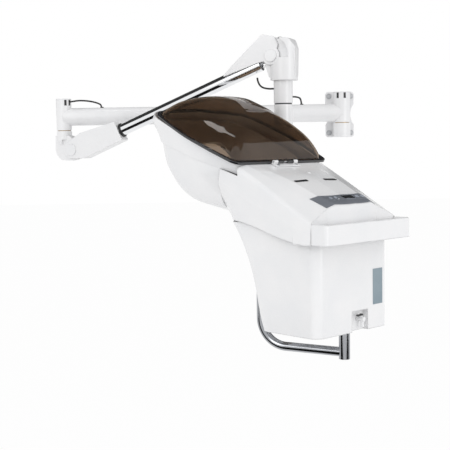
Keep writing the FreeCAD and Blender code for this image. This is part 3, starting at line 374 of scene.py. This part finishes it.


# Finishes that keep the grey hollow colour get painted shade in their hollows; the black finishes set a paler
# one, which reads as dirt.
FINISHES: tuple = (
    Finish("white_gloss", (0.83, 0.83, 0.835), (0.8, 0.805, 0.815), (0.2, 0.3), coat=0.35, relief=0.03,
           rub=(0.86, 0.86, 0.86), edge_mm=0.9),
    Finish("white_moulding", (0.83, 0.83, 0.835), (0.8, 0.805, 0.815), (0.2, 0.3), coat=0.35, relief=0.03,
           rub=(0.86, 0.86, 0.86), edge_mm=5.0),
    Finish("white_enamel", (0.84, 0.84, 0.845), (0.81, 0.812, 0.82), (0.25, 0.36), coat=0.2, relief=0.1,
           fine=500.0),
    Finish("polished_chrome", (0.86, 0.87, 0.88), (0.8, 0.81, 0.83), (0.04, 0.09), metal=1.0, relief=0.01,
           dust_and_shade_share=0.05, stretch=(1.0, 1.0, 6.0)),
    Finish("dark_chrome", (0.42, 0.43, 0.45), (0.35, 0.36, 0.38), (0.06, 0.14), metal=1.0, relief=0.02),
    Finish("brushed_steel", (0.55, 0.56, 0.57), (0.46, 0.47, 0.49), (0.26, 0.42), metal=1.0, relief=0.15,
           stretch=(0.1, 1.0, 1.0)),
    Finish("black_satin", (0.014, 0.014, 0.015), (0.022, 0.022, 0.023), (0.32, 0.5), relief=0.2, fine=1400.0,
           rub=(0.07, 0.07, 0.07), dust_and_shade=(0.09, 0.085, 0.08)),
    Finish("black_gloss", (0.01, 0.01, 0.012), (0.016, 0.017, 0.02), (0.05, 0.1), coat=0.6, relief=0.01,
           rub=(0.05, 0.05, 0.05), dust_and_shade=(0.09, 0.085, 0.08)),
    SmokedGlass(),
    Finish("lead_rubber", (0.012, 0.012, 0.012), (0.024, 0.023, 0.022), (0.45, 0.65), relief=0.3, fine=1600.0,
           rub=(0.05, 0.05, 0.05), dust_and_shade=(0.08, 0.075, 0.07)),
    Finish("bronze_bush", (0.5, 0.33, 0.13), (0.4, 0.25, 0.1), (0.24, 0.4), metal=1.0, relief=0.12),
    Finish("slate_panel", (0.15, 0.162, 0.185), (0.175, 0.186, 0.21), (0.28, 0.42), relief=0.25, fine=1300.0,
           rub=(0.16, 0.18, 0.22), dust_and_shade=(0.12, 0.13, 0.15)),
    Finish("frosted_plastic", (0.72, 0.75, 0.78), (0.66, 0.7, 0.74), (0.22, 0.36), clear=0.55, relief=0.06),
    Finish("green_board", (0.012, 0.09, 0.035), (0.02, 0.13, 0.05), (0.3, 0.5), relief=0.5, fine=420.0,
           stretch=(1.0, 5.0, 1.0), rub=(0.4, 0.34, 0.12), rub_share=0.5),
    Finish("button_grey", (0.3, 0.33, 0.385), (0.34, 0.37, 0.42), (0.3, 0.45), relief=0.2, fine=1500.0,
           rub=(0.5, 0.52, 0.56)),
    Finish("pale_print", (0.42, 0.46, 0.52), (0.36, 0.4, 0.46), (0.35, 0.5), relief=0.05, dust_and_shade_share=0.0),
    Finish("slate_plate", (0.23, 0.295, 0.337), (0.262, 0.327, 0.368), (0.35, 0.5), relief=0.1,
           dust_and_shade_share=0.1),
)


class Wardrobe:
    """Every finish by name, built once."""

    def __init__(self) -> None:
        """Build the shared groups and the materials."""
        effects = Effects()
        self.materials = {f.name: f.build(effects) for f in FINISHES}
        self.dressed: set[str] = set()

    def wear(self, obj: bpy.types.Object, finish: str) -> None:
        """Give an object one finish.

        Args:
            obj: a mesh or curve object.
            finish: the finish's name.
        """
        material = self.materials[finish]
        if obj.material_slots:
            for holder in obj.material_slots:
                holder.material = material
        else:
            obj.data.materials.append(material)
        self.dressed.add(obj.name)


# Mesh tools


@dataclass
class Shell:
    """Vertices and faces of closed parts that become one mesh."""

    points: list[Vector] = field(default_factory=list)
    faces: list[list[int]] = field(default_factory=list)

    def strip(self, rings: list[list[Vector]], capped: bool = True) -> None:
        """Add closed rings of points joined by quads.

        Args:
            rings: rings of equal count, in order.
            capped: close both ends with a face, or join the last ring to the first.
        """
        start, n = len(self.points), len(rings[0])
        for ring in rings:
            self.points.extend(ring)
        pairs = [(i, i + 1) for i in range(len(rings) - 1)]
        if not capped:
            pairs.append((len(rings) - 1, 0))
        for a, b in pairs:
            for k in range(n):
                m = (k + 1) % n
                low, high = start + a * n, start + b * n
                self.faces.append([low + k, low + m, high + m, high + k])
        if capped:
            self.faces.append([start + k for k in reversed(range(n))])
            self.faces.append([start + (len(rings) - 1) * n + k for k in range(n)])

    def turned(self, profile: tuple[Pair, ...], place: Matrix, steps: int = 40) -> None:
        """Add a turned part.

        Args:
            profile: radius and height pairs in mm, from its foot to its top.
            place: where it stands, its axis along the matrix's third column.
            steps: points round it.
        """
        rings = []
        for r, z in profile:
            angles = [2 * math.pi * k / steps for k in range(steps)]
            rings.append([place @ (Vector((r * math.cos(a), r * math.sin(a), z)) * MM) for a in angles])
        self.strip(rings)

    def object(self, name: str, smooth: bool = True) -> bpy.types.Object:
        """Return the parts as one object.

        Args:
            name: the object's name.
            smooth: shade its faces smooth.

        Returns:
            The new object, linked to the scene.
        """
        mesh = bpy.data.meshes.new(name)
        mesh.from_pydata([tuple(p) for p in self.points], [], self.faces)
        mesh.validate()
        mesh.polygons.foreach_set("use_smooth", [smooth] * len(mesh.polygons))
        if smooth:
            mesh.set_sharp_from_angle(angle=math.radians(38))
        return link_object(name, mesh)


class Skin:
    """The upper surface of some solids, to stand small pieces on."""

    def __init__(self, *nodes: str) -> None:
        """Gather the solids' faces.

        Args:
            nodes: names of the solids.
        """
        points: list[Vector] = []
        faces: list[list[int]] = []
        for name in nodes:
            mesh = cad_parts[name].data
            start = len(points)
            points.extend(v.co.copy() for v in mesh.vertices)
            faces.extend([start + i for i in p.vertices] for p in mesh.polygons)
        self.tree = BVHTree.FromPolygons(points, faces)

    def at(self, u: float, w: float) -> tuple[Vector, Vector]:
        """Return the top point and its normal over a place of the machine.

        Args:
            u: distance to the front in mm.
            w: distance to the near side in mm.

        Returns:
            The point and the outward normal in the row frame.
        """
        start = MACHINE.point(u, -w, 700.0)
        hit, normal, _, _ = self.tree.ray_cast(start, Vector((0, 0, -1)))
        if hit is None:
            raise ValueError(f"nothing lies under u {u}, w {w}")
        return hit, normal if normal.z > 0 else -normal


def standing(place: Vector, axis: Vector) -> Matrix:
    """Return the matrix of a part that stands at a place.

    Args:
        place: where its foot is.
        axis: the way it points.

    Returns:
        The matrix.
    """
    turn = Vector((0, 0, 1)).rotation_difference(axis).to_matrix().to_4x4()
    return Matrix.Translation(place) @ turn


# Sub-assemblies


@dataclass
class Assembly:
    """What every sub-assembly does: dress its solids and place its new pieces."""

    wardrobe: Wardrobe
    finishes: dict[str, tuple[str, ...]] = field(default_factory=dict)

    def dress(self) -> None:
        """Give each solid its finish."""
        for finish, nodes in self.finishes.items():
            for name in nodes:
                self.wardrobe.wear(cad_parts[name], finish)
                log.info("%s wears %s", name, finish)

    def place(self, obj: bpy.types.Object, body: Body, slot: Slot, finish: str) -> bpy.types.Object:
        """Put a new piece on its body.

        Args:
            obj: the piece.
            body: the body it rides on.
            slot: the record's slot of its finish; not used.
            finish: the finish it wears.

        Returns:
            The same piece.
        """
        self.wardrobe.wear(obj, finish)
        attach(obj, body.value)
        log.info("%s rides on %s", obj.name, body.value)
        return obj

    def build(self) -> None:
        """Dress the solids."""
        self.dress()


@dataclass
class WallMount(Assembly):
    """The wall plate and its four bolts."""

    finishes: dict[str, tuple[str, ...]] = field(default_factory=lambda: {
        "white_enamel": ("wall_plate", "wall_support")})
    bolt_x: float = 38.0
    bolt_z: float = 63.5
    face_y: float = -12.0
    washer: tuple[Pair, ...] = ((9.0, -0.05), (9.3, 0.3), (9.3, 1.1), (8.9, 1.5), (4.0, 1.5))
    first_turn: float = 0.3
    turn_step: float = 0.7
    hexagon: tuple[Pair, ...] = ((7.0, 1.4), (7.5, 1.8), (7.5, 5.6), (6.6, 6.6), (3.0, 6.9))

    def build(self) -> None:
        """Dress the solids and add the bolts."""
        self.dress()
        for i, (sx, sz) in enumerate(((-1, -1), (1, -1), (-1, 1), (1, 1))):
            shell = Shell()
            foot = ROW.point(sx * self.bolt_x, self.face_y, sz * self.bolt_z)
            place = standing(foot, Vector((0, -1, 0)))
            shell.turned(self.washer, place)
            turn = Matrix.Rotation(self.first_turn + self.turn_step * i, 4, "Z")
            shell.turned(self.hexagon, place @ turn, 6)
            self.place(shell.object(f"wall_bolt_{i + 1}"), Body.WALL, Slot.STEEL, "brushed_steel")


@dataclass
class Lead:
    """One short lead whose both ends go into the arm."""

    node: str
    placing: Placing
    points: tuple[Point, ...]
    length: float
    radius: float = 0.0028

    def route(self) -> list[Vector]:
        """Return the control points in metres of the row frame."""
        return [self.placing.point(*p) for p in self.points]

    def curve(self, bevel: float) -> bpy.types.Curve:
        """Return the lead's NURBS curve.

        Args:
            bevel: the tube's radius, or 0 for the bare line.

        Returns:
            The curve data.
        """
        curve = bpy.data.curves.new(f"{self.node}_run", "CURVE")
        curve.dimensions = "3D"
        curve.resolution_u = 14
        curve.bevel_depth = bevel
        curve.bevel_resolution = 5
        spline = curve.splines.new("NURBS")
        route = self.route()
        spline.points.add(len(route) - 1)
        for point, place in zip(spline.points, route):
            point.co = (*place, 1.0)
        spline.order_u = 3
        spline.use_endpoint_u = True
        return curve

    def mesh_object(self, name: str) -> tuple[bpy.types.Object, list[Vector]]:
        """Return the lead as a mesh tube and the points that it follows.

        Args:
            name: the new object's name.

        Returns:
            The object and its centreline points.
        """
        line = bpy.data.objects.new(f"{name}_line", self.curve(0.0))
        tube = bpy.data.objects.new(f"{name}_tube", self.curve(self.radius))
        tube.data.use_fill_caps = True
        path = [v.co.copy() for v in bpy.data.meshes.new_from_object(line).vertices]
        mesh = bpy.data.meshes.new_from_object(tube)
        mesh.polygons.foreach_set("use_smooth", [True] * len(mesh.polygons))
        obj = link_object(name, mesh)
        bpy.data.objects.remove(line)
        bpy.data.objects.remove(tube)
        return obj, path


@dataclass
class LongArm(Assembly):
    """The fixed-length arm from the wall to the elbow, with its two leads."""

    finishes: dict[str, tuple[str, ...]] = field(default_factory=lambda: {
        "white_enamel": ("wall_sleeve", "elbow_sleeve", "long_arm_tube", "elbow_knuckle"),
        "bronze_bush": ("arm_bushes",),
        "white_gloss": ("post_caps",),
        "lead_rubber": ("arm_grommets",)})
    slots: tuple[tuple[str, float, float, float, float], ...] = (
        ("wall_cap_slot_1", 0.0, 29.0, 72.0, -36.0),
        ("wall_cap_slot_2", 0.0, 29.0, 72.0, 13.0),
        ("elbow_cap_slot_1", -955.5, 25.75, 61.5, 23.0),
        ("elbow_cap_slot_2", -955.5, 25.75, 61.5, 58.0),
    )
    slot_size: Pair = (8.0, 19.0)
    slot_proud: float = 0.12
    slot_sunk: float = 0.6
    post_y: float = -75.0
    leads: tuple[Lead, ...] = (
        Lead("arm_lead_left", ROW, (
            (-940, -85, 55), (-926, -92.1, 55), (-902, -94, 59), (-866, -88, 57), (-838, -78, 50),
            (-824, -75, 42), (-824, -75, 16)), 0.150),
        Lead("arm_lead_right", ROW, (
            (-138, -75, 14), (-138, -75, 52), (-152, -72, 61), (-184, -56, 62), (-212, -22.5, 31.64),
            (-212, -62, 10.32)), 0.170),
    )

    def _slot(self, name: str, x: float, r: float, top: float, turn: float) -> bpy.types.Object:
        """Return one black slot set into a sleeve just under its top.

        Args:
            name: the object's name.
            x: where the sleeve's axis stands along the wall, in mm.
            r: the sleeve's radius in mm.
            top: height of the slot's upper end in mm.
            turn: degrees from the sleeve's front towards the wall plate's side.

        Returns:
            The slot.
        """
        wide, tall = self.slot_size
        half = math.degrees(wide / 2 / r)
        angles = [math.radians(turn + half * (k / 4 - 1)) for k in range(9)]
        rings = []
        for z in (top - tall, top):
            ring = []
            for out, order in ((r + self.slot_proud, angles), (r - self.slot_sunk, angles[::-1])):
                for a in order:
                    ring.append(ROW.point(x + out * math.sin(a), self.post_y - out * math.cos(a), z))
            rings.append(ring)
        shell = Shell()
        shell.strip(rings)
        return shell.object(name)

    def build(self) -> None:
        """Dress the solids, set the slots and run the leads."""
        self.dress()
        for slot in self.slots:
            self.place(self._slot(*slot), Body.LONG_ARM, Slot.BLACK_PLASTIC, "black_satin")
        for lead in self.leads:
            obj = link_object(f"{lead.node}_cord", lead.curve(lead.radius))
            self.place(obj, Body.LONG_ARM, Slot.RUBBER, "lead_rubber")
            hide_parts(lead.node)
            lead.route()[0]


@dataclass
class SpringArm(Assembly):
    """The spring-balanced arm, its level rod and the head at its end."""

    finishes: dict[str, tuple[str, ...]] = field(default_factory=lambda: {
        "white_enamel": ("arm_lower_housing", "arm_upper_cover", "head_elbow", "drop_tube", "hanger_arm"),
        "white_gloss": ("pivot_caps", "hanger_tube", "tilt_bracket"),
        "polished_chrome": ("arm_tube", "level_rod"),
        "black_satin": ("arm_collar", "head_plug", "swivel_ring"),
        "brushed_steel": ("balance_spring", "pivot_pins", "rod_pins"),
        "bronze_bush": ("drop_bushes",)})
    lead: Lead = field(default_factory=lambda: Lead("head_lead", HEAD, (
        (-84, -4, 108), (-84, -4, 98), (-73, -3, 78), (-50, 0, 72), (-30, 0, 72), (-26.5, 0, 72)), 0.078))

    def build(self) -> None:
        """Dress the solids and put a curved tube for the head's lead, from the arm to the head, in place of
        its solid.
        """
        self.dress()
        obj, path = self.lead.mesh_object("head_lead_cord")
        self.wardrobe.wear(obj, "lead_rubber")
        route = self.lead.route()
        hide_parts(self.lead.node)
        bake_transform(obj)
        log.info("%s bends between the arm and the head", obj.name)


@dataclass(frozen=True)
class BarRow:
    """A row of printed bars across the panel, in mm."""

    u: float
    w: float
    du: float
    dw: float
    count: int = 1
    step: float = 0.0
    grow: float = 0.0


@dataclass
class Controls(Assembly):
    """The control panel, its window, buttons, light and prints."""

    finishes: dict[str, tuple[str, ...]] = field(default_factory=lambda: {
        "slate_panel": ("control_panel",),
        "black_gloss": ("panel_window",),
        "black_satin": ("deck_trims",),
        "button_grey": ("button_less", "button_more", "button_start", "button_power")})
    light_at: Pair = (24.0, -32.0)
    bezel: tuple[Pair, ...] = ((3.0, -0.3), (3.0, 0.7), (2.7, 0.95), (2.3, 0.6))
    lens: tuple[Pair, ...] = ((2.3, 0.2), (2.2, 0.8), (1.6, 1.3), (0.7, 1.55))
    plug_at: Pair = (180.0, 31.0)
    plug: tuple[Pair, ...] = ((5.6, -0.4), (5.6, 0.7), (5.2, 1.2), (4.0, 1.5), (1.5, 1.6))
    print_up: float = 0.12
    print_down: float = 0.1
    ring: tuple[float, float, float, float] = (19.0, 75.0, 3.4, 0.8)
    rows: tuple[BarRow, ...] = (
        BarRow(20.0, -56.0, 1.0, 6.0),
        BarRow(20.0, -40.0, 1.0, 6.0),
        BarRow(20.0, -40.0, 6.0, 1.0),
        BarRow(16.6, 75.0, 3.0, 0.8),
        BarRow(19.0, 48.6, 2.0, 1.6, 3, 3.4, 1.6),
        BarRow(45.5, -62.0, 0.9, 5.0, 6, 8.5),
        BarRow(46.5, 44.0, 0.9, 5.0, 6, 8.0),
        BarRow(17.6, -4.0, 1.6, 4.6, 5, 8.0),
    )

    def build(self) -> None:
        """Dress the solids and add the light, the deck plug and the prints."""
        self.dress()
        panel = Skin("control_panel", "upper_casing", "panel_window")
        for name, at, profile, slot, finish in (
                ("panel_light_bezel", self.light_at, self.bezel, Slot.STEEL, "brushed_steel"),
                ("panel_light_lens", self.light_at, self.lens, Slot.CLEAR_PLASTIC, "frosted_plastic"),
                ("deck_plug", self.plug_at, self.plug, Slot.WHITE_PLASTIC, "white_gloss")):
            foot, normal = panel.at(*at)
            shell = Shell()
            shell.turned(profile, standing(foot, normal))
            self.place(shell.object(name), Body.MACHINE, slot, finish)
        self._prints(panel)

    def _loop(self, skin: Skin, places: list[Pair], lift: float) -> list[Vector]:
        """Return places of the panel lifted off its surface by lift mm."""
        found = [skin.at(u, w) for u, w in places]
        return [p + n * lift * MM for p, n in found]

    def _bar(self, shell: Shell, skin: Skin, u: float, w: float, du: float, dw: float) -> None:
        """Add a flat printed bar of size du by dw mm about a place."""
        signs = ((-1, -1), (1, -1), (1, 1), (-1, 1))
        corners = [(u + a * du / 2, w + b * dw / 2) for a, b in signs]
        shell.strip([self._loop(skin, corners, -self.print_down), self._loop(skin, corners, self.print_up)])

    def _round(self, shell: Shell, skin: Skin, u: float, w: float, r: float, line: float) -> None:
        """Add a printed ring of radius r and the given line width."""
        steps = [2 * math.pi * k / 28 for k in range(28)]
        outer = [(u + r * math.cos(a), w + r * math.sin(a)) for a in steps]
        inner = [(u + (r - line) * math.cos(a), w + (r - line) * math.sin(a)) for a in steps]
        up, down = self.print_up, -self.print_down
        rings = [(outer, down), (outer, up), (inner, up), (inner, down)]
        shell.strip([self._loop(skin, places, lift) for places, lift in rings], capped=False)

    def _prints(self, skin: Skin) -> None:
        """Print the plain marks of the buttons and the scale by the window."""
        shell = Shell()
        self._round(shell, skin, *self.ring)
        for row in self.rows:
            for k in range(row.count):
                self._bar(shell, skin, row.u, row.w + row.step * k, row.du + row.grow * k, row.dw)
        self.place(shell.object("panel_prints", smooth=False), Body.MACHINE, Slot.WHITE_PAINT, "pale_print")


@dataclass
class Machine(Assembly):
    """The casings, bowl, tank, pipe and everything inside them."""

    finishes: dict[str, tuple[str, ...]] = field(default_factory=lambda: {
        "white_moulding": ("lower_casing", "upper_casing"),
        "white_gloss": ("hood_bowl", "bowl_liner", "fan_housing", "air_duct", "drain_body", "hinge_plate"),
        "black_satin": ("fan_motor", "drain_lever"),
        "brushed_steel": ("hinge_screws", "carry_frame", "heater_element"),
        "dark_chrome": ("stand_socket", "carry_pipe"),
        "frosted_plastic": ("water_tank", "impeller"),
        "slate_plate": ("rear_plate",),
        "green_board": ("control_board",)})


@dataclass
class Visor(Assembly):
    """The smoked visor with its black flange and hinge pin."""

    finishes: dict[str, tuple[str, ...]] = field(default_factory=lambda: {
        "smoked_acrylic": ("visor_dome",),
        "black_gloss": ("visor_flange",),
        "brushed_steel": ("hinge_pin",)})


# Studio


@dataclass(frozen=True)
class Lamp:
    """A square soft lamp that looks at the machine."""

    name: str
    place: Point
    size: float
    power: float


@dataclass
class Studio:
    """A white room: floor, soft lamps, dark cards for metal and gloss, and the camera."""

    target: Point = (-0.45, -0.45, -0.15)
    floor_z: float = -1.65
    floor_half: float = 24.0
    floor_white: float = 0.93
    sky: Colour = (0.98, 0.98, 0.985)
    sky_level: float = 0.9
    lamps: tuple[Lamp, ...] = (
        Lamp("key", (-2.3, -3.0, 0.9), 1.6, 17.0),
        Lamp("side", (2.2, -3.0, 0.0), 1.4, 19.0),
        Lamp("top", (-0.9, -0.6, 2.4), 0.5, 3.0),
    )
    cards: tuple[tuple[str, tuple[Point, ...], float], ...] = (
        ("low_card", ((-6, -4.4, -1.6), (5, -4.4, -1.6), (5, -0.9, -1.6), (-6, -0.9, -1.6)), 0.01),
        ("high_card", ((-6, -2.2, 3.2), (5, -2.2, 3.2), (5, 4, 3.2), (-6, 4, 3.2)), 0.05),
        ("back_card", ((-6, 4, 0.2), (5, 4, 0.2), (5, 4, 3.2), (-6, 4, 3.2)), 0.05),
    )
    eye: Point = (-0.408, -3.43, -0.107)
    pitch: float = 4.6
    roll: float = 0.9
    lens: float = 77.6
    sensor: float = 36.0

    def _seen(self, graph: Graph) -> bpy.types.NodeSocket:
        """Return 1 for camera, glossy and transmission rays and 0 for the rest."""
        path = graph.add("ShaderNodeLightPath").outputs
        direct = graph.combine("MAXIMUM", path["Is Camera Ray"], path["Is Glossy Ray"])
        return graph.combine("MAXIMUM", direct, path["Is Transmission Ray"])

    def _world(self) -> None:
        """Light the object plainly and show white behind it."""
        world = bpy.data.worlds.new("studio")
        bpy.context.scene.world = world
        graph = emptied(world)
        light = graph.add("ShaderNodeBackground", {"Color": opaque(self.sky), "Strength": self.sky_level})
        white = graph.add("ShaderNodeBackground", {"Color": WHITE, "Strength": 1.0})
        values = {0: self._seen(graph), 1: light.outputs[0], 2: white.outputs[0]}
        mixed = graph.add("ShaderNodeMixShader", values)
        graph.add("ShaderNodeOutputWorld", {"Surface": mixed.outputs[0]})

    def _sheet(self, name: str, corners: tuple[Point, ...]) -> bpy.types.Object:
        """Return a flat stage sheet.

        Args:
            name: its name.
            corners: its four corners, in order round it.

        Returns:
            The sheet.
        """
        mesh = bpy.data.meshes.new(name)
        mesh.from_pydata(corners, [], [[0, 1, 2, 3]])
        obj = link_object(name, mesh)
        return obj

    def _floor(self) -> None:
        """Lay the pale floor, near white where it is seen, and keep the shadow on it."""
        half, z = self.floor_half, self.floor_z
        corners = ((-half, -half, z), (half, -half, z), (half, half, z), (-half, half, z))
        floor = self._sheet("floor", corners)
        material = bpy.data.materials.new("pale_floor")
        graph = emptied(material)
        matt = graph.add("ShaderNodeBsdfDiffuse", {"Color": (0.9, 0.9, 0.9, 1.0)})
        white = graph.add("ShaderNodeEmission", {"Color": WHITE, "Strength": 1.0})
        share = graph.times(self._seen(graph), self.floor_white)
        mixed = graph.add("ShaderNodeMixShader", {0: share, 1: matt.outputs[0], 2: white.outputs[0]})
        graph.add("ShaderNodeOutputMaterial", {"Surface": mixed.outputs[0]})
        floor.data.materials.append(material)

    def _card(self, name: str, corners: tuple[Point, ...], grey: float) -> None:
        """Hang a dark card that only polished metal and gloss can see.

        Args:
            name: its name.
            corners: its four corners, in order round it.
            grey: how pale it is.
        """
        card = self._sheet(name, corners)
        material = bpy.data.materials.new(name)
        graph = emptied(material)
        matt = graph.add("ShaderNodeBsdfDiffuse", {"Color": (grey, grey, grey, 1.0)})
        graph.add("ShaderNodeOutputMaterial", {"Surface": matt.outputs[0]})
        card.data.materials.append(material)
        card.visible_camera = False
        card.visible_diffuse = False
        card.visible_shadow = False
        card.visible_transmission = False

    def _light(self) -> None:
        """Hang the soft lamps."""
        for lamp in self.lamps:
            data = bpy.data.lights.new(lamp.name, "AREA")
            data.size = lamp.size
            data.energy = lamp.power
            obj = link_object(f"lamp_{lamp.name}", data)
            toward = Vector(self.target) - Vector(lamp.place)
            obj.matrix_world = standing(Vector(lamp.place), -toward.normalized())

    def _camera(self) -> None:
        """Set the camera at the photograph's angle."""
        p, r = math.radians(self.pitch), math.radians(self.roll)
        ahead = Vector((0.0, math.cos(p), -math.sin(p)))
        up = Vector((0.0, math.sin(p), math.cos(p)))
        side = Vector((1.0, 0.0, 0.0))
        right = side * math.cos(r) - up * math.sin(r)
        above = side * math.sin(r) + up * math.cos(r)
        data = bpy.data.cameras.new("camera")
        data.lens = self.lens
        data.sensor_width = self.sensor
        data.sensor_fit = "HORIZONTAL"
        camera = link_object("camera", data)
        turn = Matrix((right, above, -ahead)).transposed().to_4x4()
        camera.matrix_world = Matrix.Translation(Vector(self.eye)) @ turn
        bpy.context.scene.camera = camera

    def build(self) -> None:
        """Build the room."""
        self._camera()
        self._world()
        self._floor()
        for card in self.cards:
            self._card(*card)
        self._light()
        bpy.context.scene.view_settings.view_transform = "Standard"


def main() -> None:
    """Build the studio and every sub-assembly, and check that every solid is dressed."""
    logging.basicConfig(level=logging.INFO, format="%(name)s: %(message)s")
    Studio().build()
    wardrobe = Wardrobe()
    for kind in (WallMount, LongArm, SpringArm, Machine, Visor, Controls):
        kind(wardrobe).build()
    corded = {"arm_lead_left", "arm_lead_right", "head_lead"}
    bare = sorted(set(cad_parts) - wardrobe.dressed - corded)
    if bare:
        raise ValueError(f"these solids have no finish: {bare}")


if __name__ == "__main__":
    main()
